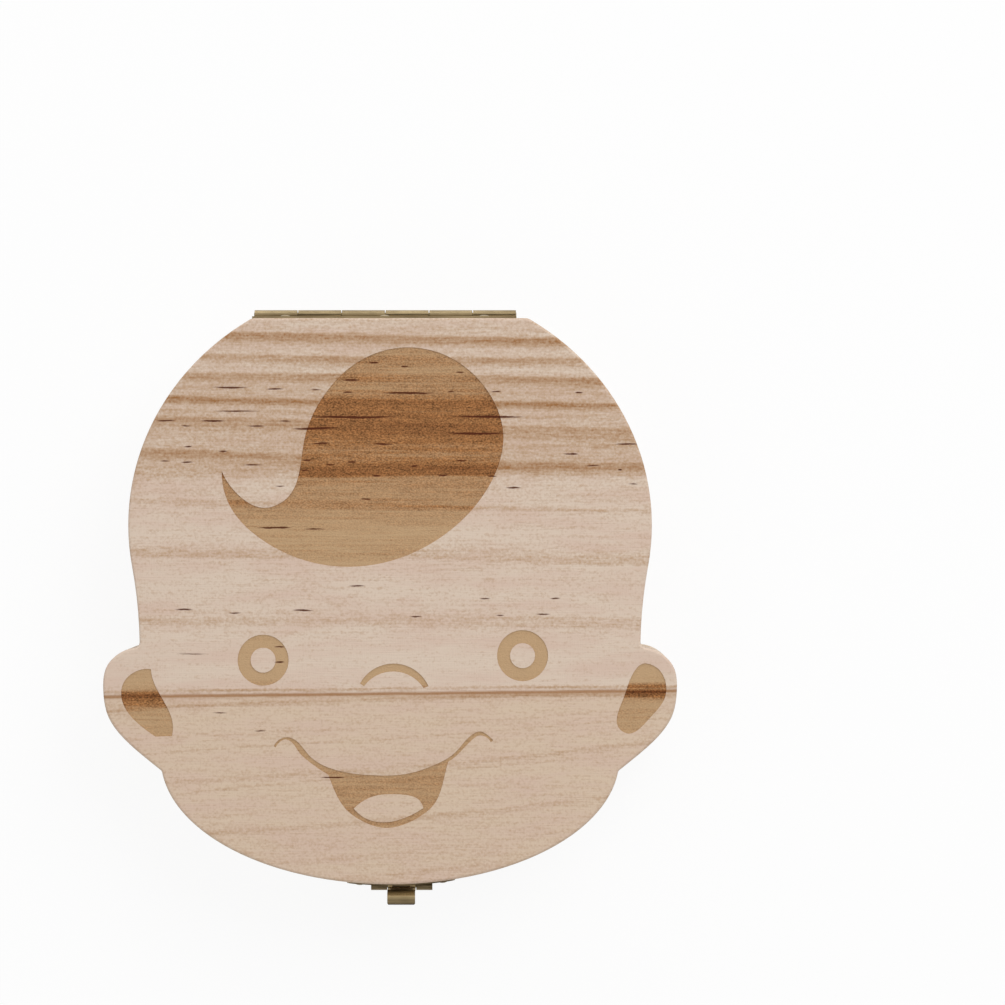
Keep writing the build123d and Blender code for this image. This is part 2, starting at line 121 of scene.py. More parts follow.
# Overall tone of each board at places along Y: 0 is pale, 1 is dark
REAR_TONE = (
    (57, 0.19), (49, 0.13), (46, 0.14), (43, 0.28), (39, 0.26), (32, 0.24), (30, 0.30), (26.5, 0.32),
    (24.2, 0.11), (20, 0.08), (16, 0.01), (11, 0.04), (7, 0.02), (-6, 0.02), (-10, -0.06), (-16, -0.06),
    (-19, 0.04),
)
FRONT_TONE = ((-19, 0.02), (-24, 0.03), (-30, 0.03), (-38, 0.04), (-46, 0.06), (-57, 0.10))
BASE_TONE = ((56, 0.04), (0, 0.08), (-57, 0.04))
# How deeply the laser burnt each lid board, at places along Y
REAR_BURN = (
    (51, 0.16), (47, 0.12), (43.5, 0.16), (41, 0.20), (38, 0.34), (34, 0.43), (31, 0.33), (28, 0.25),
    (25, 0.23), (20, 0.20), (17, 0.15), (14, 0.04), (8, 0.02), (-8, -0.04), (-14, -0.05), (-19, 0.08),
)
FRONT_BURN = ((-17, 0.16), (-24, 0.05), (-32, 0.08), (-36, 0.17), (-57, 0.15))
# Rings that the laser brings out more strongly than the bare wood shows them
REAR_SCORCH = (
    (24.0, 24.8, 25.0, 0.36, -3.4), (42.6, 41.4, 40.8, 0.12, 12.0), (20.9, 19.7, 18.7, 0.08, 2.0),
    (-19.2, -18.4, -17.8, 0.44, -1.8),
)
FRONT_SCORCH = ((-19.1, -18.3, -17.8, 0.30, 2.6), (-21.8, -19.8, -19.6, 0.14, -3.0))

# Resin ducts of the rear board: centre in mm, half length in mm, depth of tone
REAR_DUCTS = (
    (-32.0, 42.8, 3.4, 0.7), (-23.0, 42.4, 1.6, 0.8), (-14.8, 42.4, 1.2, 0.4), (-30.6, 38.0, 4.4, 0.45),
    (-44.8, 36.1, 1.8, 0.7), (-35.4, 36.1, 2.4, 0.8), (-40.8, 35.0, 1.0, 0.5), (-26.8, 35.0, 1.8, 0.5),
    (-21.0, 36.1, 1.2, 0.5), (-14.8, 34.55, 4.4, 1.0), (-7.3, 36.85, 8.3, 1.0), (-40.4, 31.0, 0.8, 0.7),
    (-33.4, 30.0, 0.9, 0.6), (-45.0, 28.1, 0.9, 0.5), (-40.6, 27.8, 1.2, 0.6), (-27.4, 27.3, 2.0, 0.5),
    (-13.8, 31.5, 1.6, 0.9), (-1.4, 31.4, 2.0, 1.0), (-16.6, 28.2, 0.9, 0.9), (-12.0, 27.3, 1.0, 0.8),
    (-7.6, 27.9, 1.0, 0.8), (-17.0, 26.2, 0.8, 0.8), (-2.6, 25.1, 0.9, 0.9), (-22.0, 23.0, 1.0, 0.5),
    (-4.8, 20.5, 1.1, 0.8), (-23.0, 14.7, 3.3, 0.9), (-15.0, 14.4, 2.0, 0.5), (-6.6, 3.0, 1.6, 0.6),
    (-7.6, 44.2, 1.8, 0.9), (-8.4, 41.8, 1.0, 0.8), (3.6, 41.7, 5.0, 0.9), (-3.2, 47.8, 1.0, 0.8),
    (2.9, 47.0, 0.8, 0.8), (14.0, 45.8, 0.9, 0.8), (12.2, 42.0, 0.7, 0.7), (21.2, 42.0, 1.0, 0.7),
    (37.8, 41.8, 0.8, 0.8), (19.8, 36.9, 6.6, 0.9), (17.2, 33.6, 5.6, 1.0), (47.4, 31.4, 2.3, 0.8),
    (36.2, 29.4, 1.5, 0.8), (14.3, 28.2, 1.1, 0.9), (4.9, 27.1, 0.7, 0.9), (10.6, 25.2, 1.1, 0.9),
    (20.4, 25.0, 0.9, 0.8), (40.6, 27.1, 1.4, 0.5), (46.0, 26.2, 0.4, 0.9), (24.7, 22.7, 1.5, 0.7),
    (48.6, 23.4, 1.0, 0.4), (19.0, 0.5, 1.0, 0.6), (33.0, 0.5, 1.0, 0.6), (-41.2, -1.7, 1.8, 0.6),
    (-31.0, -2.3, 1.2, 0.5), (-17.4, -1.8, 2.0, 0.8), (-39.6, -10.5, 3.0, 0.3), (-22.1, -9.2, 1.0, 0.8),
    (-22.1, -12.2, 1.0, 0.8), (5.2, -3.1, 1.2, 0.6), (22.0, -2.9, 0.8, 0.6), (30.6, -2.6, 1.4, 0.6),
)
FRONT_DUCTS = (
    (-11.4, -35.2, 2.4, 0.8), (-34.0, -22.3, 1.4, 0.4), (-26.0, -25.9, 1.2, 0.4), (-45.5, -38.1, 1.6, 0.3),
)

# The ring's sharp edge, from clear to full, in mm outside and inside its line,
# and the share of its fade over which it stays full
RING_EDGE_OUTSIDE = 0.32
RING_EDGE_INSIDE = 0.48
RING_FULL_SHARE = 0.25

# The glue line between the lid's boards: its place in mm at the middle and its rise to the right,
# place and reach of its core in mm, end, edge and share of its shaded shoulder, how its darkness
# grows with the streaks and starts without them, and how dark it is in the wood and in the burn
GLUE_LINE_Y = -18.4
GLUE_LINE_RISE = 0.0105
GLUE_CORE_Y = -0.05
GLUE_CORE_REACH = 0.55
GLUE_SHOULDER_END = -1.3
GLUE_SHOULDER_EDGE = 0.1
GLUE_SHOULDER_SHARE = 0.35
GLUE_STREAKS = (0.8, 0.6)
GLUE_IN_WOOD = 0.80
GLUE_IN_BURN = 0.5

# Resin ducts: half width in mm, how much a long duct is wider, how far its thin ends reach past
# the table's length, how sharp its edge is and how dark it is
DUCT_HALF_WIDTH = 0.18
DUCT_WIDENING = 0.014
DUCT_TAPER = 1.15
DUCT_SHARPNESS = 3
DUCT_DARKNESS = 0.94

# Patterns of the wood: length of their grains in mm along X, Y and Z
WAVE_SIZE = (42, 14, 14)
RIPPLE_SIZE = (9, 3, 3)
DUCT_BEND_SIZE = (9, 4, 4)
DUCT_SHAKE_SIZE = (1.6, 0.5, 0.5)
RING_CLOUD_SIZE = (30, 4, 4)
RING_BREAK_SIZE = (9, 0.4, 0.4)
STREAK_SIZE = (34, 0.8, 0.8)
FIBRE_SIZE = (4.5, 0.5, 0.5)
SPECK_SIZE = (0.5, 0.4, 0.4)
BLUSH_SIZE = (24, 5, 5)
RAISED_FIBRE_SIZE = (6, 0.25, 0.25)
SANDING_SIZE = (0.22, 2.2, 0.6)
STIPPLE_SIZE = (0.28, 0.28, 0.28)
GLUE_SHAKE_SIZE = (6, 2, 2)
GLUE_BREAK_SIZE = (5, 0.4, 0.4)
BURN_STREAK_SIZE = (16, 0.5, 0.5)
BURN_GRAIN_SIZE = (0.4, 0.27, 0.3)
BURN_CLOUD_SIZE = (2.0, 0.9, 0.9)
WALL_BURN_SIZE = (1.2, 1.2, 4)

# Detail of the fine patterns, and detail and roughness of the two cloudy ones
FINE_DETAIL = 3.0
BLUSH_DETAIL = (5.0, 0.62)
FILM_DETAIL = (4.0, 0.55)
# Where the cloudy patterns start to show and where they are full
BLUSH_RANGE = (0.38, 0.66)
FILM_RANGE = (0.25, 0.75)

# How far those patterns reach: bends in mm and the others in tone
RIPPLE_SHARE = 0.3
DUCT_BEND = 0.25
DUCT_SHAKE = 0.16
STREAK_REACH = 0.18
FIBRE_REACH = 0.30
SPECK_REACH = 0.48
GLUE_SHAKE = 0.10
BURN_STREAK_REACH = 0.22
BURN_CLOUD_REACH = 0.3
WALL_BURN_REACH = 0.2

# How far a face looks up, from 0 to 1, where it starts to count and where it counts in full:
# as an engraved floor, as a side of a board, as a cut wall, which also gets painted shade, and as brass
# that is turned away, which gets painted shade on the tongue and a painted highlight on the hinge
FLOOR_FACING = (0.97, 0.99)
SIDE_FACING = (0.5, 0.2)
WALL_FACING = (0.8, 0.3)
TURNED_FACING = (0.92, 0.40)

# Grain: its slope through a board's thickness, its waves in mm on the lid and on the base,
# how much of the blush shows on each, and the share of the sanded tone on the boards' sides
GRAIN_SLOPE = 0.45
LID_WAVE = 0.5
BASE_WAVE = 1.4
LID_BLUSH = 0.7
BASE_BLUSH = 0.35
SANDED_SHARE = 0.45

# Depths below the face in mm at which a level floor counts as engraved: where that starts,
# is first full, is last full and ends
ENGRAVED_DEPTHS = (0.08, 0.12, 0.25, 0.30)

# Raised grain: shares of the sanding marks, of the laser's stipple and of the open ducts
SANDING_SHARE = 0.5
STIPPLE_SHARE = 1.4
OPEN_DUCT_SHARE = 0.12

# Laser burn: how much of the wood's tone it follows, and how its fine grit grows with it
TONE_IN_BURN = 0.34
GRIT_GROWTH = 2.2
GRIT_LEAST = 0.10
GRIT_MOST = 1.35

# Gloss of the wood: roughness of the bare lid, what engraving adds, roughness of the base, shine
LID_ROUGHNESS = 0.58
ENGRAVED_ROUGHNESS = 0.18
BASE_ROUGHNESS = 0.62
WOOD_SHINE = 0.12

# Where the base is cut out, in mm: within a squarish oval about a middle on Y, from above the
# lowest floor to below the top face, and the box around the two middle pockets
CUT_HALF_WIDTH = 45
CUT_HALF_LENGTH = 51
CUT_MIDDLE_Y = 1
CUT_OVAL_EDGE = (1.0, 0.99)
CUT_FLOOR = (4.0, 4.2)
CUT_BELOW_TOP = (0.3, 0.6)
POCKET_HALF_WIDTH = 18
POCKET_FRONT_Y = -34
POCKET_REAR_Y = 29
# How deeply the cut wood is burnt: on the pockets' floors, what their upright walls add, partly as burn
# and partly as painted shade, and in the holes
FLOOR_BURN = 0.20
WALL_BURN_AND_SHADE = 0.70
HOLE_BURN = 0.9

# Brass: length in mm along X, Y and Z of its patches of film, drawn lines, dents and ridges,
# how much each shows, then its roughness, what the film adds, and how metallic it is
FILM_PATCH_SIZE = (7.0, 3.5, 3.5)
DRAWN_LINE_SIZE = (6.0, 0.10, 0.10)
DENT_SIZE = (1.1, 1.1, 1.1)
RIDGE_SIZE = (5.0, 0.12, 0.12)
FILM_PATCH_SHARE = 0.26
DRAWN_LINE_REACH = 0.22
RIDGE_SHARE = 0.3
DENT_HEIGHT = 0.00002
BRASS_ROUGHNESS = 0.26
FILM_ROUGHNESS = 0.22
BRASS_METALLIC = 0.75
# Film on each kind of brass: all over; on its faces turned away from above, where above 0 it is painted
# shade and below 0 a painted highlight; and along the tongue's outer edge, where it is painted shade
BRASS_FILM_AND_SHADING = {
    "hinge": (0.50, -0.1, 0.0),
    "latch": (0.64, 0.0, 0.0),
    # The tongue has almost no film, partly from wear and partly as a painted highlight on its crown, and
    # painted shade on its turned faces and outer edge
    "tongue": (-0.08, 0.55, 0.65),
}
# Where the tongue's crown ends and painted shade starts on its outer edge, which turns down and away, and
# where that shade is full, in mm along Y
CROWN_END_Y = -59.0
EDGE_SHADE_FULL_Y = -60.4

# Easing of the brass sheet: points this near are one, in metres; faces this nearly level are one,
# corners above the sharp angle are rounded, and shading runs over edges below the smooth angle
MERGE_DISTANCE = 0.000002
LEVEL_ANGLE = radians(0.5)
SHARP_ANGLE = radians(40)
SMOOTH_ANGLE = radians(32)

# Sheet pieces that get eased edges
SHEET_SLOTS = {
    "hinge_leaf_base": "hinge_brass",
    "hinge_leaf_lid": "hinge_brass",
    "latch_base_plate": "latch_brass",
    "latch_catch_plate": "latch_brass",
    "latch_tongue": "tongue_brass",
}

# Place of each lamp, and its width and height, in metres
LAMPS = {
    "key_light": ((0.45, 0.50, 0.80), (0.6, 0.6)),
    "fill_light": ((-0.60, -0.40, 0.80), (0.8, 0.8)),
    "back_light": ((0.10, 1.30, 0.45), (1.4, 0.5)),
}
# Whiteness of the floor's paint, the share of plain white that the camera sees in it, and how far
# the camera sees, in metres
FLOOR_WHITE = 0.9
FLOOR_GLOW = 0.9
VIEW_REACH = 20


class PineSettings(bpy.types.PropertyGroup):
    """Colours of the pine boards."""

    pale: FloatVectorProperty(
        name="Early wood", description="Pale wood between the rings",
        subtype="COLOR", size=3, min=0, max=1, default=shade(217, 198, 180),
    )
    ring: FloatVectorProperty(
        name="Ring wood", description="Wood halfway into a growth ring",
        subtype="COLOR", size=3, min=0, max=1, default=shade(189, 158, 130),
    )
    dark: FloatVectorProperty(
        name="Late wood", description="Dark edge of a growth ring",
        subtype="COLOR", size=3, min=0, max=1, default=shade(156, 110, 68),
    )
    blush: FloatVectorProperty(
        name="Blush", description="Pinkish patches of the boards",
        subtype="COLOR", size=3, min=0, max=1, default=shade(211, 184, 167),
    )
    front: FloatVectorProperty(
        name="Front board", description="Early wood of the lid's front board",
        subtype="COLOR", size=3, min=0, max=1, default=shade(213, 191, 168),
    )
    inside: FloatVectorProperty(
        name="Base board", description="Early wood of the base, which is yellower",
        subtype="COLOR", size=3, min=0, max=1, default=shade(232, 210, 181),
    )
    wall: FloatVectorProperty(
        name="Sanded wall", description="Greyer wood of the boards' sawn and sanded sides",
        subtype="COLOR", size=3, min=0, max=1, default=shade(202, 190, 176),
    )
    duct: FloatVectorProperty(
        name="Resin duct", description="Short dark strokes in the wood",
        subtype="COLOR", size=3, min=0, max=1, default=shade(80, 34, 16),
    )
    relief: FloatProperty(
        name="Grain relief", description="Height of the raised grain",
        subtype="DISTANCE", unit="LENGTH", min=0, max=0.001, default=0.00006,
    )


class EngravingSettings(bpy.types.PropertyGroup):
    """Colours that the laser leaves."""

    light: FloatVectorProperty(
        name="Light burn", description="Engraved early wood",
        subtype="COLOR", size=3, min=0, max=1, default=shade(190, 158, 121),
    )
    middle: FloatVectorProperty(
        name="Middle burn", description="Engraved late wood",
        subtype="COLOR", size=3, min=0, max=1, default=shade(156, 108, 66),
    )
    deep: FloatVectorProperty(
        name="Deep burn", description="Engraved resinous wood",
        subtype="COLOR", size=3, min=0, max=1, default=shade(108, 62, 30),
    )
    line: FloatVectorProperty(
        name="Line burn", description="Thin engraved lines and numbers of the base",
        subtype="COLOR", size=3, min=0, max=1, default=shade(150, 98, 58),
    )
    hole: FloatVectorProperty(
        name="Tooth hole", description="Drilled tooth holes, scorched brown",
        subtype="COLOR", size=3, min=0, max=1, default=shade(204, 136, 80),
    )
    # The pockets' upright walls get more of this colour, partly as scorch and partly as painted shade
    pocket: FloatVectorProperty(
        name="Pocket", description="Walls of the two milled pockets, lightly scorched",
        subtype="COLOR", size=3, min=0, max=1, default=shade(214, 164, 112),
    )


class BrassSettings(bpy.types.PropertyGroup):
    """Colours and edges of the brass pieces."""

    # On the hinge's turned faces this clean colour also shows as a slight painted highlight
    hinge: FloatVectorProperty(
        name="Hinge brass", description="Pale brass of the hinge where it is rubbed clean",
        subtype="COLOR", size=3, min=0, max=1, default=shade(212, 190, 148),
    )
    # On the tongue's crown this clean colour also serves as a painted highlight
    latch: FloatVectorProperty(
        name="Latch brass", description="Golden brass of the latch where it is rubbed clean",
        subtype="COLOR", size=3, min=0, max=1, default=shade(226, 200, 150),
    )
    hinge_tarnish: FloatVectorProperty(
        name="Hinge tarnish", description="Brown film on the hinge",
        subtype="COLOR", size=3, min=0, max=1, default=shade(94, 77, 48),
    )
    # This tarnish colour is also the painted shade on the tongue's turned faces and outer edge
    latch_tarnish_and_shade: FloatVectorProperty(
        name="Latch tarnish", description="Brown film on the latch",
        subtype="COLOR", size=3, min=0, max=1, default=shade(60, 46, 26),
    )
    edge_radius: FloatProperty(
        name="Edge radius", description="Rounding of the sheet's edges",
        subtype="DISTANCE", unit="LENGTH", min=0, max=0.0002, default=0.00006,
    )


class StageSettings(bpy.types.PropertyGroup):
    """Floor, light and camera."""

    floor_width: FloatProperty(
        name="Floor width", description="Side of the square floor",
        subtype="DISTANCE", unit="LENGTH", min=0.5, max=20, default=6,
    )
    camera_height: FloatProperty(
        name="Camera height", description="Distance from the lid's top to the camera",
        subtype="DISTANCE", unit="LENGTH", min=0.2, max=3, default=0.9,
    )
    view_width: FloatProperty(
        name="View width", description="Width of the view at the lid's top",
        subtype="DISTANCE", unit="LENGTH", min=0.05, max=1, default=0.201,
    )
    aim: FloatVectorProperty(
        name="Aim", description="Point of the lid's top under the camera",
        subtype="TRANSLATION", unit="LENGTH", size=2, default=(0.0225, 0.01975),
    )
    key_power: FloatProperty(
        name="Key light", description="Power of the large lamp above, behind the hinge on the right",
        subtype="POWER", unit="POWER", min=0, max=200, default=4.2,
    )
    fill_power: FloatProperty(
        name="Fill light", description="Power of the softer lamp opposite",
        subtype="POWER", unit="POWER", min=0, max=200, default=1.6,
    )
    back_power: FloatProperty(
        name="Back light", description="Power of the wide low lamp behind the hinge",
        subtype="POWER", unit="POWER", min=0, max=200, default=5.7,
    )
    sky_strength: FloatProperty(
        name="Sky", description="Strength of the white surroundings",
        min=0, max=2, default=0.5,
    )


class Recipe:
    """One procedural material, built up node by node; values are sockets or numbers."""

    def __init__(self, name):
        self.material = bpy.data.materials.new(name)
        self.material.use_nodes = True
        self.tree = self.material.node_tree
        self.tree.nodes.clear()
        self.output = self.node("ShaderNodeOutputMaterial")

    def node(self, kind, **settings):
        """New node with its settings made."""
        node = self.tree.nodes.new(kind)
        for name, value in settings.items():
            setattr(node, name, value)
        return node

    def feed(self, socket, value):
        """Link a socket into another, or set its plain value."""
        if isinstance(value, bpy.types.NodeSocket):
            self.tree.links.new(value, socket)
        elif socket.type == "RGBA":
            socket.default_value = (*value, 1)
        else:
            socket.default_value = value

    def calc(self, operation, *values, clamp=False):
        """Result of a sum on numbers."""
        node = self.node("ShaderNodeMath", operation=operation, use_clamp=clamp)
        for socket, value in zip(node.inputs, values):
            self.feed(socket, value)
        return node.outputs[0]

    def vector(self, operation, *values):
        """Result of a sum on places or colours."""
        node = self.node("ShaderNodeVectorMath", operation=operation)
        for socket, value in zip(node.inputs, values):
            self.feed(socket, value)
        return node.outputs["Value" if operation == "LENGTH" else "Vector"]

    def plan(self):
        """Object coordinates in millimetres."""
        coordinates = self.node("ShaderNodeTexCoord").outputs["Object"]
        return self.vector("MULTIPLY", coordinates, (MM, MM, MM))

    def split(self, vector):
        """The three parts of a place, as X, Y and Z."""
        node = self.node("ShaderNodeSeparateXYZ")
        self.feed(node.inputs[0], vector)
        return node.outputs

    def join(self, x, y, z):
        """A place or colour made of three numbers."""
        node = self.node("ShaderNodeCombineXYZ")
        for socket, value in zip(node.inputs, (x, y, z)):
            self.feed(socket, value)
        return node.outputs[0]

    def noise(self, vector, stretch, detail=2.0, roughness=0.5):
        """Noise from 0 to 1 whose grains are as long as the stretch says, in mm."""
        scale = tuple(1 / length for length in stretch)
        node = self.node("ShaderNodeTexNoise")
        self.feed(node.inputs["Vector"], self.vector("MULTIPLY", vector, scale))
        node.inputs["Scale"].default_value = 1
        node.inputs["Detail"].default_value = detail
        node.inputs["Roughness"].default_value = roughness
        return node.outputs["Fac"]

    def sway(self, vector, stretch, reach, detail=2.0):
        """Noise around 0 that reaches about as far as is said either way."""
        centred = self.calc("SUBTRACT", self.noise(vector, stretch, detail), 0.5)
        return self.calc("MULTIPLY", centred, reach * 2)

    def step(self, value, low, high):
        """0 below low, 1 above high and smooth in between; low may lie above high."""
        node = self.node("ShaderNodeMapRange", interpolation_type="SMOOTHSTEP")
        backwards = low > high
        self.feed(node.inputs["Value"], value)
        node.inputs["From Min"].default_value = min(low, high)
        node.inputs["From Max"].default_value = max(low, high)
        node.inputs["To Min"].default_value = 1 if backwards else 0
        node.inputs["To Max"].default_value = 0 if backwards else 1
        return node.outputs["Result"]

    def near(self, value, place, reach):
        """1 where the value is at the place, 0 beyond the reach on both sides."""
        distance = self.calc("ABSOLUTE", self.calc("SUBTRACT", value, place))
        return self.step(distance, reach, 0)

    def profile(self, value, stops):
        """Level at a place in mm, from stops of a place and a level."""
        length = PROFILE_END - PROFILE_START
        share = self.calc("DIVIDE", self.calc("SUBTRACT", value, PROFILE_START), length, clamp=True)
        node = self.node("ShaderNodeValToRGB")
        self.feed(node.inputs[0], share)
        elements = node.color_ramp.elements
        ordered = sorted(stops)
        while len(elements) < len(ordered):
            elements.new(0.5)
        for element, (place, level) in zip(elements, ordered):
            element.position = (place - PROFILE_START) / length
            element.color = (level + PROFILE_DEPTH,) * 3 + (1,)
        return self.calc("SUBTRACT", node.outputs["Color"], PROFILE_DEPTH)

    def mix(self, factor, first, second):
        """The first colour where the factor is 0, the second where it is 1."""
        node = self.node("ShaderNodeMix", data_type="RGBA")
        self.feed(node.inputs["Factor"], factor)
        self.feed(node.inputs["A"], first)
        self.feed(node.inputs["B"], second)
        return node.outputs["Result"]

    def facing_up(self):
        """Height of the piece's own normal: 1 on a face that looks up with the lid shut."""
        normal = self.node("ShaderNodeTexCoord").outputs["Normal"]
        return self.split(normal)["Z"]

    def bump(self, height, distance):
        """Normal of a surface whose full height is the distance, in metres."""
        node = self.node("ShaderNodeBump")
        node.inputs["Distance"].default_value = distance
        node.inputs["Strength"].default_value = 1
        self.feed(node.inputs["Height"], height)
        return node.outputs["Normal"]

    def finish(self, colour, normal, roughness, **fixed):
        """Close the material with one shader; the fixed values are set on its own sockets."""
        surface = self.node("ShaderNodeBsdfPrincipled")
        self.feed(surface.inputs["Base Color"], colour)
        self.feed(surface.inputs["Normal"], normal)
        self.feed(surface.inputs["Roughness"], roughness)
        for name, value in fixed.items():
            surface.inputs[name.replace("_", " ")].default_value = value
        self.tree.links.new(surface.outputs[0], self.output.inputs["Surface"])
        return self.material


def wavy_place(recipe, plan, reach):
    """Place along Y with the gentle waves of the grain and its tilt through the board taken out."""
    _, y, z = recipe.split(plan)
    wave = recipe.sway(plan, WAVE_SIZE, reach, detail=1.0)
    ripple = recipe.sway(plan, RIPPLE_SIZE, reach * RIPPLE_SHARE)
    tilt = recipe.calc("MULTIPLY_ADD", z, GRAIN_SLOPE, -GRAIN_SLOPE * lid_top * MM)
    place = recipe.calc("ADD", recipe.calc("ADD", y, wave), ripple)
    return recipe.calc("ADD", place, tilt)


def ring_depth(recipe, plan, place, rings):
    """Tone of the growth rings, each dark at its sharp edge and fading away on one side."""
    across = recipe.calc("DIVIDE", recipe.split(plan)["X"], RING_SPAN)
    squared = recipe.calc("MULTIPLY", across, across)
    total = 0.0
    for left, middle, right, depth, fade in rings:
        line = recipe.calc("MULTIPLY_ADD", across, (right - left) / 2, middle)
        line = recipe.calc("MULTIPLY_ADD", squared, (left + right) / 2 - middle, line)
        distance = recipe.calc("SUBTRACT", place, line)
        side = 1 if fade > 0 else -1
        edge = recipe.step(distance, RING_EDGE_OUTSIDE * side, -RING_EDGE_INSIDE * side)
        fading = recipe.step(distance, -fade, -RING_FULL_SHARE * fade)
        mark = recipe.calc("MULTIPLY", recipe.calc("MULTIPLY", edge, fading), depth)
        total = recipe.calc("ADD", total, mark)
    return total


def resin_ducts(recipe, plan, ducts):
    """Depth of tone of the short dark strokes, each a thin shaken ellipse along the grain."""
    shake = recipe.sway(plan, DUCT_SHAKE_SIZE, DUCT_SHAKE)
    bend = recipe.sway(plan, DUCT_BEND_SIZE, DUCT_BEND)
    shaken = recipe.vector("ADD", plan, recipe.join(0, recipe.calc("ADD", shake, bend), 0))
    total = 0.0
    for x, y, half_length, depth in ducts:
        half_width = DUCT_HALF_WIDTH + DUCT_WIDENING * half_length
        tapered = DUCT_TAPER * half_length
        scale = (1 / tapered, 1 / half_width, 0)
        offset = (-x / tapered, -y / half_width, 0)
        distance = recipe.vector("LENGTH", recipe.vector("MULTIPLY_ADD", shaken, scale, offset))
        mark = recipe.calc("MULTIPLY_ADD", distance, -depth * DUCT_SHARPNESS, depth * DUCT_SHARPNESS)
        total = recipe.calc("MAXIMUM", total, mark)
    return recipe.calc("MINIMUM", total, 1)


def board_tone(recipe, plan, place, rings, tone):
    """Depth of the wood's own colour from 0 to 1: rings, haze and fibres."""
    clouds = recipe.noise(plan, RING_CLOUD_SIZE)
    breaks = recipe.noise(plan, RING_BREAK_SIZE)
    strength = recipe.calc("ADD", clouds, breaks)
    ring = recipe.calc("MULTIPLY", ring_depth(recipe, plan, place, rings), strength)
    haze = recipe.profile(place, tone)
    streaks = recipe.sway(plan, STREAK_SIZE, STREAK_REACH, detail=FINE_DETAIL)
    fibres = recipe.sway(plan, FIBRE_SIZE, FIBRE_REACH, detail=FINE_DETAIL)
    specks = recipe.sway(plan, SPECK_SIZE, SPECK_REACH)
    fine = recipe.calc("ADD", recipe.calc("ADD", streaks, fibres), specks)
    return recipe.calc("ADD", recipe.calc("ADD", ring, haze), fine, clamp=True)


def three_tones(recipe, level, first, middle, last):
    """Colour from the first through the middle one to the last, as the level goes from 0 to 1."""
    colour = recipe.mix(recipe.calc("MULTIPLY", level, 2, clamp=True), first, middle)
    return recipe.mix(recipe.calc("MULTIPLY_ADD", level, 2, -1, clamp=True), colour, last)


def pine_colour(recipe, plan, tone, pale, pine, blushing):
    """Wood colour for a depth of tone, with pinkish patches and greyer upright sides."""
    patches = recipe.step(recipe.noise(plan, BLUSH_SIZE, *BLUSH_DETAIL), *BLUSH_RANGE)
    pale = recipe.mix(recipe.calc("MULTIPLY", patches, blushing), pale, pine.blush)
    colour = three_tones(recipe, tone, pale, pine.ring, pine.dark)
    sides = recipe.step(recipe.calc("ABSOLUTE", recipe.facing_up()), *SIDE_FACING)
    return recipe.mix(recipe.calc("MULTIPLY", sides, SANDED_SHARE), colour, pine.wall)


def engraved_face(recipe, plan, height):
    """1 on the flat floors that the laser left, 0 on the face around them."""
    z = recipe.split(plan)["Z"]
    start, full, last, end = (height * MM - depth for depth in ENGRAVED_DEPTHS)
    below = recipe.step(z, start, full)
    above = recipe.step(z, end, last)
    flat = recipe.step(recipe.facing_up(), *FLOOR_FACING)
    return recipe.calc("MULTIPLY", recipe.calc("MULTIPLY", below, above), flat)


def wood_relief(recipe, plan, tone, ducts, engraved, relief):
    """Bump of raised grain, open ducts and the stippled laser floor."""
    fibres = recipe.noise(plan, RAISED_FIBRE_SIZE, FINE_DETAIL)
    sanding = recipe.calc("MULTIPLY", recipe.noise(plan, SANDING_SIZE), SANDING_SHARE)
    stipple = recipe.calc("MULTIPLY", recipe.noise(plan, STIPPLE_SIZE), engraved)
    grain = recipe.calc("ADD", recipe.calc("ADD", fibres, sanding), tone)
    height = recipe.calc("ADD", grain, recipe.calc("MULTIPLY", stipple, STIPPLE_SHARE))
    height = recipe.calc("SUBTRACT", height, recipe.calc("MULTIPLY", ducts, OPEN_DUCT_SHARE))
    return recipe.bump(height, relief)


def glue_line(recipe, plan):
    """Darkness of the glue line between the lid's boards, broken up along its length."""
    x, y, _ = recipe.split(plan)
    line = recipe.calc("MULTIPLY_ADD", x, GLUE_LINE_RISE, GLUE_LINE_Y)
    shake = recipe.sway(plan, GLUE_SHAKE_SIZE, GLUE_SHAKE)
    distance = recipe.calc("ADD", recipe.calc("SUBTRACT", y, line), shake)
    core = recipe.near(distance, GLUE_CORE_Y, GLUE_CORE_REACH)
    fading = recipe.step(distance, GLUE_SHOULDER_END, -GLUE_SHOULDER_EDGE)
    edge = recipe.step(distance, GLUE_SHOULDER_EDGE, -GLUE_SHOULDER_EDGE)
    shoulder = recipe.calc("MULTIPLY", fading, edge)
    streak = recipe.calc("MULTIPLY_ADD", recipe.noise(plan, GLUE_BREAK_SIZE, FINE_DETAIL), *GLUE_STREAKS)
    depth = recipe.calc("ADD", core, recipe.calc("MULTIPLY", shoulder, GLUE_SHOULDER_SHARE))
    return recipe.calc("MULTIPLY", depth, streak, clamp=True)


def speckle(recipe, plan, colour, amount):
    """Colour made lighter and darker by fine grains, as much as the amount says."""
    grains = recipe.sway(plan, BURN_GRAIN_SIZE, 1.0)
    grains = recipe.calc("ADD", grains, recipe.sway(plan, BURN_CLOUD_SIZE, BURN_CLOUD_REACH))
    level = recipe.calc("MULTIPLY_ADD", grains, amount, 1)
    return recipe.vector("MULTIPLY", colour, recipe.join(level, level, level))


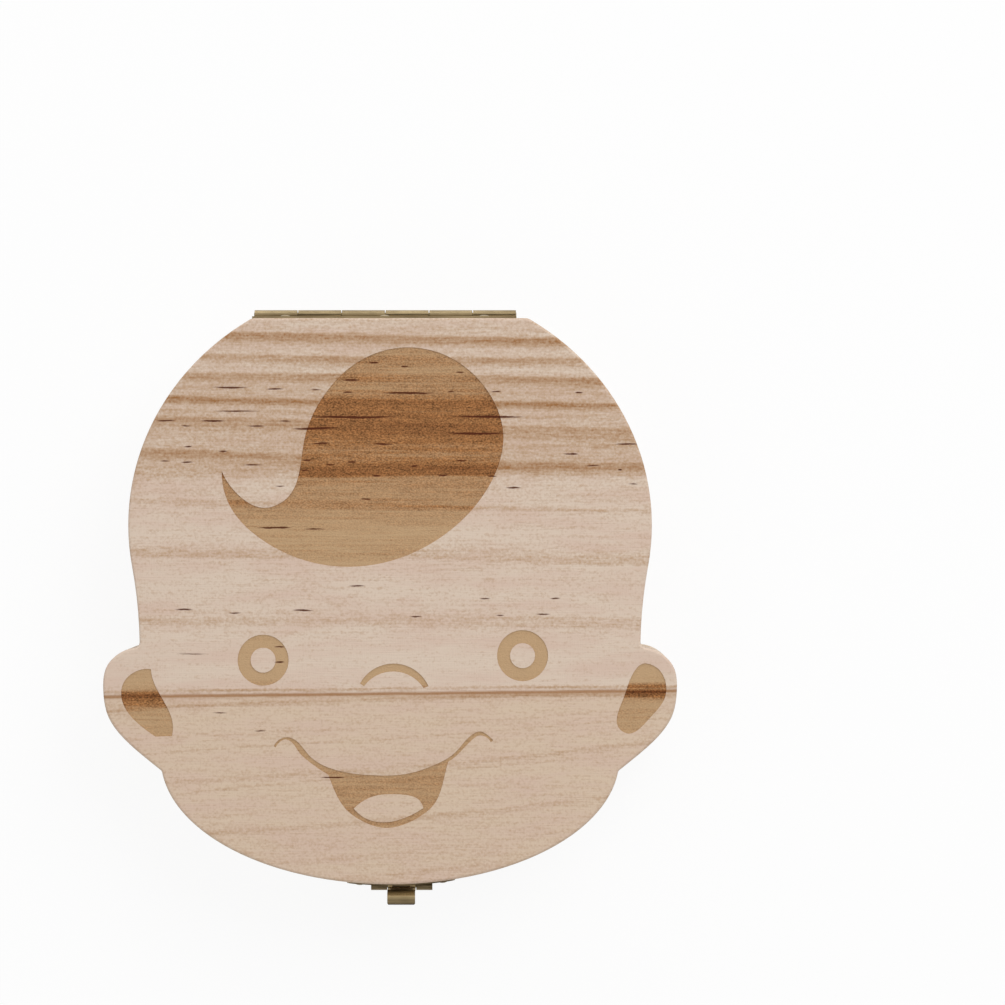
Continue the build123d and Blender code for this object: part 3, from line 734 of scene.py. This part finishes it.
def lid_pine(context, name, pale, rings, tones, burns, scorch, duct_table):
    """Pine of one lid board with its engraved figure."""
    pine = context.scene.tooth_box_pine
    engraving = context.scene.tooth_box_engraving
    recipe = Recipe(name)
    plan = recipe.plan()
    place = wavy_place(recipe, plan, LID_WAVE)
    tone = board_tone(recipe, plan, place, rings, tones)
    ducts = resin_ducts(recipe, plan, duct_table)
    engraved = engraved_face(recipe, plan, lid_top)
    glue = glue_line(recipe, plan)
    wood = pine_colour(recipe, plan, tone, pale, pine, LID_BLUSH)
    wood = recipe.mix(recipe.calc("MULTIPLY", glue, GLUE_IN_WOOD), wood, pine.dark)
    streaks = recipe.sway(plan, BURN_STREAK_SIZE, BURN_STREAK_REACH, detail=FINE_DETAIL)
    burn = recipe.calc("MULTIPLY_ADD", tone, TONE_IN_BURN, recipe.profile(place, burns))
    burn = recipe.calc("ADD", burn, ring_depth(recipe, plan, place, scorch))
    burn = recipe.calc("ADD", burn, streaks)
    burn = recipe.calc("ADD", burn, recipe.calc("MULTIPLY", glue, GLUE_IN_BURN), clamp=True)
    scorched = three_tones(recipe, burn, engraving.light, engraving.middle, engraving.deep)
    grit = recipe.calc("MULTIPLY_ADD", burn, GRIT_GROWTH, GRIT_LEAST)
    scorched = speckle(recipe, plan, scorched, recipe.calc("MINIMUM", grit, GRIT_MOST))
    colour = recipe.mix(engraved, wood, scorched)
    colour = recipe.mix(recipe.calc("MULTIPLY", ducts, DUCT_DARKNESS), colour, pine.duct)
    normal = wood_relief(recipe, plan, tone, ducts, engraved, pine.relief)
    roughness = recipe.calc("MULTIPLY_ADD", engraved, ENGRAVED_ROUGHNESS, LID_ROUGHNESS)
    return recipe.finish(colour, normal, roughness, Specular_IOR_Level=WOOD_SHINE)


def base_pine(context):
    """Pine of the base: plain outside, burnt lines, numbers and cut walls inside."""
    pine = context.scene.tooth_box_pine
    engraving = context.scene.tooth_box_engraving
    recipe = Recipe("pine_base")
    plan = recipe.plan()
    place = wavy_place(recipe, plan, BASE_WAVE)
    tone = board_tone(recipe, plan, place, BASE_RINGS, BASE_TONE)
    engraved = engraved_face(recipe, plan, base_top)
    wood = pine_colour(recipe, plan, tone, pine.inside, pine, BASE_BLUSH)
    x, y, z = recipe.split(plan)
    to_oval = (1 / CUT_HALF_WIDTH, 1 / CUT_HALF_LENGTH, 0)
    from_middle = (0, -CUT_MIDDLE_Y / CUT_HALF_LENGTH, 0)
    scaled = recipe.vector("MULTIPLY_ADD", plan, to_oval, from_middle)
    oval = recipe.vector("LENGTH", recipe.vector("MULTIPLY", scaled, scaled))
    within = recipe.step(oval, *CUT_OVAL_EDGE)
    below_top = recipe.step(z, *(base_top * MM - depth for depth in CUT_BELOW_TOP))
    above_floor = recipe.step(z, *CUT_FLOOR)
    hollow = recipe.calc("MULTIPLY", recipe.calc("MULTIPLY", within, below_top), above_floor)
    upright = recipe.step(recipe.facing_up(), *WALL_FACING)
    beside = recipe.step(recipe.calc("ABSOLUTE", x), POCKET_HALF_WIDTH + 1, POCKET_HALF_WIDTH)
    behind_front = recipe.step(y, POCKET_FRONT_Y, POCKET_FRONT_Y + 1)
    before_rear = recipe.step(y, POCKET_REAR_Y, POCKET_REAR_Y - 1)
    pocket = recipe.calc("MULTIPLY", beside, recipe.calc("MULTIPLY", behind_front, before_rear))
    scorch = recipe.mix(pocket, engraving.hole, engraving.pocket)
    # Upright cut walls burn deeper, partly as scorch and partly as painted shade
    depth = recipe.calc("MULTIPLY_ADD", upright, WALL_BURN_AND_SHADE, FLOOR_BURN)
    in_holes = recipe.calc("MULTIPLY_ADD", pocket, -HOLE_BURN, HOLE_BURN)
    depth = recipe.calc("MAXIMUM", depth, in_holes)
    depth = recipe.calc("ADD", depth, recipe.sway(plan, WALL_BURN_SIZE, WALL_BURN_REACH))
    colour = recipe.mix(engraved, wood, engraving.line)
    colour = recipe.mix(recipe.calc("MULTIPLY", hollow, depth, clamp=True), colour, scorch)
    normal = wood_relief(recipe, plan, tone, 0.0, engraved, pine.relief)
    return recipe.finish(colour, normal, BASE_ROUGHNESS, Specular_IOR_Level=WOOD_SHINE)


def antique_brass(name, clean, tarnish, even_film, painted_turned_shading, painted_edge_shade):
    """Brass with a dark film that is rubbed thin, drawn lines and small dents.

    The even film lies all over. Above 0 the second amount paints shade on the faces that turn away from
    above, and below 0 it paints them lighter as a painted highlight; the third paints shade along the
    outer edge of the latch's tongue.
    """
    recipe = Recipe(name)
    plan = recipe.plan()
    film = recipe.step(recipe.noise(plan, FILM_PATCH_SIZE, *FILM_DETAIL), *FILM_RANGE)
    film = recipe.calc("MULTIPLY", film, FILM_PATCH_SHARE)
    lines = recipe.sway(plan, DRAWN_LINE_SIZE, DRAWN_LINE_REACH, detail=FINE_DETAIL)
    film = recipe.calc("ADD", film, lines)
    turned = recipe.step(recipe.facing_up(), *TURNED_FACING)
    # Painted shade on faces turned away from above; a painted highlight there where the amount is below 0
    film = recipe.calc("MULTIPLY_ADD", turned, painted_turned_shading, film)
    # Painted shade along the tongue's outer edge, which turns down and away
    edge = recipe.step(recipe.split(plan)["Y"], CROWN_END_Y, EDGE_SHADE_FULL_Y)
    film = recipe.calc("MULTIPLY_ADD", edge, painted_edge_shade, film)
    film = recipe.calc("ADD", film, even_film, clamp=True)
    colour = recipe.mix(film, clean, tarnish)
    dents = recipe.noise(plan, DENT_SIZE)
    ridges = recipe.noise(plan, RIDGE_SIZE, FINE_DETAIL)
    normal = recipe.bump(recipe.calc("MULTIPLY_ADD", ridges, RIDGE_SHARE, dents), DENT_HEIGHT)
    roughness = recipe.calc("MULTIPLY_ADD", film, FILM_ROUGHNESS, BRASS_ROUGHNESS)
    return recipe.finish(colour, normal, roughness, Metallic=BRASS_METALLIC)


def dress(node_name, material):
    """Give a CAD node one material in place of its own."""
    node = frame["nodes"][node_name]
    if not node.material_slots:
        node.data.materials.append(material)
    for slot in node.material_slots:
        slot.material = material


def eased_copy(node_name, radius, material):
    """Stand-in for a CAD node, of the same shape with its sharp edges rounded."""
    source = frame["nodes"][node_name]
    shell = bmesh.new()
    shell.from_mesh(source.data)
    bmesh.ops.remove_doubles(shell, verts=shell.verts, dist=MERGE_DISTANCE)
    bmesh.ops.dissolve_limit(shell, angle_limit=LEVEL_ANGLE, verts=shell.verts, edges=shell.edges)
    sharp = [
        edge for edge in shell.edges
        if edge.is_manifold and edge.calc_face_angle(0) > SHARP_ANGLE
    ]
    bevel = bmesh.ops.bevel(
        shell, geom=sharp, offset=radius, offset_type="OFFSET", segments=2, profile=0.5,
        affect="EDGES", clamp_overlap=True, material=-1,
    )
    bmesh.ops.recalc_face_normals(shell, faces=shell.faces)
    rounding = set(bevel["faces"])
    for edge in shell.edges:
        beside_rounding = sum(face in rounding for face in edge.link_faces) == 1
        edge.smooth = not beside_rounding and edge.calc_face_angle(0) < SMOOTH_ANGLE
    for face in shell.faces:
        face.smooth = True
    mesh = bpy.data.meshes.new(f"eased_{node_name}")
    shell.to_mesh(mesh)
    shell.free()
    mesh.materials.append(material)
    piece = bpy.data.objects.new(f"eased_{node_name}", mesh)
    bpy.context.scene.collection.objects.link(piece)
    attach(piece, source["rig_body"])
    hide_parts(node_name)


class TOOTHBOX_OT_base(bpy.types.Operator):
    """Dress the base in pine with burnt lines and brown cut walls"""

    bl_idname = "tooth_box.dress_base"
    bl_label = "Dress the base"

    def execute(self, context):
        dress("base_block", base_pine(context))
        return {"FINISHED"}


class TOOTHBOX_OT_lid(bpy.types.Operator):
    """Dress the two lid boards in pine with their own grain and engraving"""

    bl_idname = "tooth_box.dress_lid"
    bl_label = "Dress the lid"

    def execute(self, context):
        pine = context.scene.tooth_box_pine
        rear = lid_pine(
            context, "pine_lid_rear", pine.pale,
            REAR_RINGS, REAR_TONE, REAR_BURN, REAR_SCORCH, REAR_DUCTS,
        )
        front = lid_pine(
            context, "pine_lid_front", pine.front,
            FRONT_RINGS, FRONT_TONE, FRONT_BURN, FRONT_SCORCH, FRONT_DUCTS,
        )
        dress("lid_board_rear", rear)
        dress("lid_board_front", front)
        return {"FINISHED"}


class TOOTHBOX_OT_brass(bpy.types.Operator):
    """Give the hinge and latch sheets eased edges, and them, the nails and the pins antique brass"""

    bl_idname = "tooth_box.dress_brass"
    bl_label = "Dress the brass"

    def execute(self, context):
        brass = context.scene.tooth_box_brass
        colours = {
            "hinge": (brass.hinge, brass.hinge_tarnish),
            "latch": (brass.latch, brass.latch_tarnish_and_shade),
            "tongue": (brass.latch, brass.latch_tarnish_and_shade),
        }
        materials = {
            kind: antique_brass(f"brass_{kind}", *colours[kind], *film_and_shading)
            for kind, film_and_shading in BRASS_FILM_AND_SHADING.items()
        }
        for name in frame["nodes"]:
            if name == "latch_tongue":
                material = materials["tongue"]
            else:
                material = materials["hinge" if name.startswith("hinge") else "latch"]
            if name in SHEET_SLOTS:
                eased_copy(name, brass.edge_radius, material)
            elif "nail" in name or "pin" in name:
                dress(name, material)
        return {"FINISHED"}


class TOOTHBOX_OT_stage(bpy.types.Operator):
    """Set up the floor, the soft light and the camera straight above the lid"""

    bl_idname = "tooth_box.set_stage"
    bl_label = "Set the stage"

    def execute(self, context):
        stage = context.scene.tooth_box_stage
        add_floor(stage.floor_width)
        powers = (stage.key_power, stage.fill_power, stage.back_power)
        for (name, (place, size)), power in zip(LAMPS.items(), powers):
            add_lamp(name, place, size, power)
        set_sky(context, stage.sky_strength)
        set_camera(context, stage)
        context.scene.view_settings.view_transform = "Standard"
        return {"FINISHED"}


def add_floor(width):
    """Plain white floor, bright to the camera and in the brass, that keeps the box's shadow."""
    shell = bmesh.new()
    bmesh.ops.create_grid(shell, x_segments=1, y_segments=1, size=width / 2)
    mesh = bpy.data.meshes.new("floor")
    shell.to_mesh(mesh)
    shell.free()
    recipe = Recipe("white_floor")
    paint = recipe.node("ShaderNodeBsdfDiffuse")
    paint.inputs["Color"].default_value = (FLOOR_WHITE, FLOOR_WHITE, FLOOR_WHITE, 1)
    glow = recipe.node("ShaderNodeEmission")
    glow.inputs["Strength"].default_value = 1
    path = recipe.node("ShaderNodeLightPath")
    rays = (path.outputs["Is Camera Ray"], path.outputs["Is Glossy Ray"])
    seen = recipe.calc("ADD", *rays, clamp=True)
    blend = recipe.node("ShaderNodeMixShader")
    recipe.feed(blend.inputs[0], recipe.calc("MULTIPLY", seen, FLOOR_GLOW))
    recipe.tree.links.new(paint.outputs[0], blend.inputs[1])
    recipe.tree.links.new(glow.outputs[0], blend.inputs[2])
    recipe.tree.links.new(blend.outputs[0], recipe.output.inputs["Surface"])
    mesh.materials.append(recipe.material)
    floor = bpy.data.objects.new("floor", mesh)
    bpy.context.scene.collection.objects.link(floor)


def add_lamp(name, place, size, power):
    """Soft lamp of the given width and height that looks at the middle of the lid."""
    lamp = bpy.data.lights.new(name, "AREA")
    lamp.shape = "RECTANGLE"
    lamp.size, lamp.size_y = size
    lamp.energy = power
    holder = bpy.data.objects.new(name, lamp)
    holder.location = place
    towards = Vector((0, 0, lid_top)) - Vector(place)
    holder.rotation_euler = towards.to_track_quat("-Z", "Y").to_euler()
    bpy.context.scene.collection.objects.link(holder)


def set_sky(context, strength):
    """Even white surroundings, at full white where the camera sees them."""
    sky = bpy.data.worlds.new("white_sky")
    sky.use_nodes = True
    nodes, links = sky.node_tree.nodes, sky.node_tree.links
    background = nodes["Background"]
    background.inputs["Color"].default_value = (1, 1, 1, 1)
    path = nodes.new("ShaderNodeLightPath")
    lift = nodes.new("ShaderNodeMapRange")
    lift.inputs["To Min"].default_value = strength
    lift.inputs["To Max"].default_value = 1
    links.new(path.outputs["Is Camera Ray"], lift.inputs["Value"])
    links.new(lift.outputs["Result"], background.inputs["Strength"])
    context.scene.world = sky


def set_camera(context, stage):
    """Camera straight above the lid, with the photograph's framing."""
    camera = bpy.data.cameras.new("camera")
    camera.lens = camera.sensor_width * stage.camera_height / stage.view_width
    camera.clip_end = VIEW_REACH
    holder = bpy.data.objects.new("camera", camera)
    holder.location = (stage.aim[0], stage.aim[1], lid_top + stage.camera_height)
    context.scene.collection.objects.link(holder)
    context.scene.camera = holder


class TOOTHBOX_PT_panel(bpy.types.Panel):
    """Lists the steps and the sizes and colours that they use"""

    bl_idname = "TOOTHBOX_PT_panel"
    bl_label = "Tooth box"
    bl_space_type = "VIEW_3D"
    bl_region_type = "UI"
    bl_category = "Tooth box"

    def draw(self, context):
        for step in STEPS:
            self.layout.operator(step.bl_idname)
        for group, owner in SETTINGS.items():
            column = self.layout.column()
            for name in owner.__annotations__:
                column.prop(getattr(context.scene, group), name)


STEPS = (TOOTHBOX_OT_base, TOOTHBOX_OT_lid, TOOTHBOX_OT_brass, TOOTHBOX_OT_stage)
SETTINGS = {
    "tooth_box_pine": PineSettings,
    "tooth_box_engraving": EngravingSettings,
    "tooth_box_brass": BrassSettings,
    "tooth_box_stage": StageSettings,
}


def register():
    for group, owner in SETTINGS.items():
        bpy.utils.register_class(owner)
        setattr(bpy.types.Scene, group, PointerProperty(type=owner))
    for step in STEPS:
        bpy.utils.register_class(step)
    bpy.utils.register_class(TOOTHBOX_PT_panel)


def unregister():
    bpy.utils.unregister_class(TOOTHBOX_PT_panel)
    for step in reversed(STEPS):
        bpy.utils.unregister_class(step)
    for group, owner in SETTINGS.items():
        delattr(bpy.types.Scene, group)
        bpy.utils.unregister_class(owner)


def main():
    register()
    bpy.ops.tooth_box.dress_base()
    bpy.ops.tooth_box.dress_lid()
    bpy.ops.tooth_box.dress_brass()
    bpy.ops.tooth_box.set_stage()


if __name__ == "__main__":
    main()
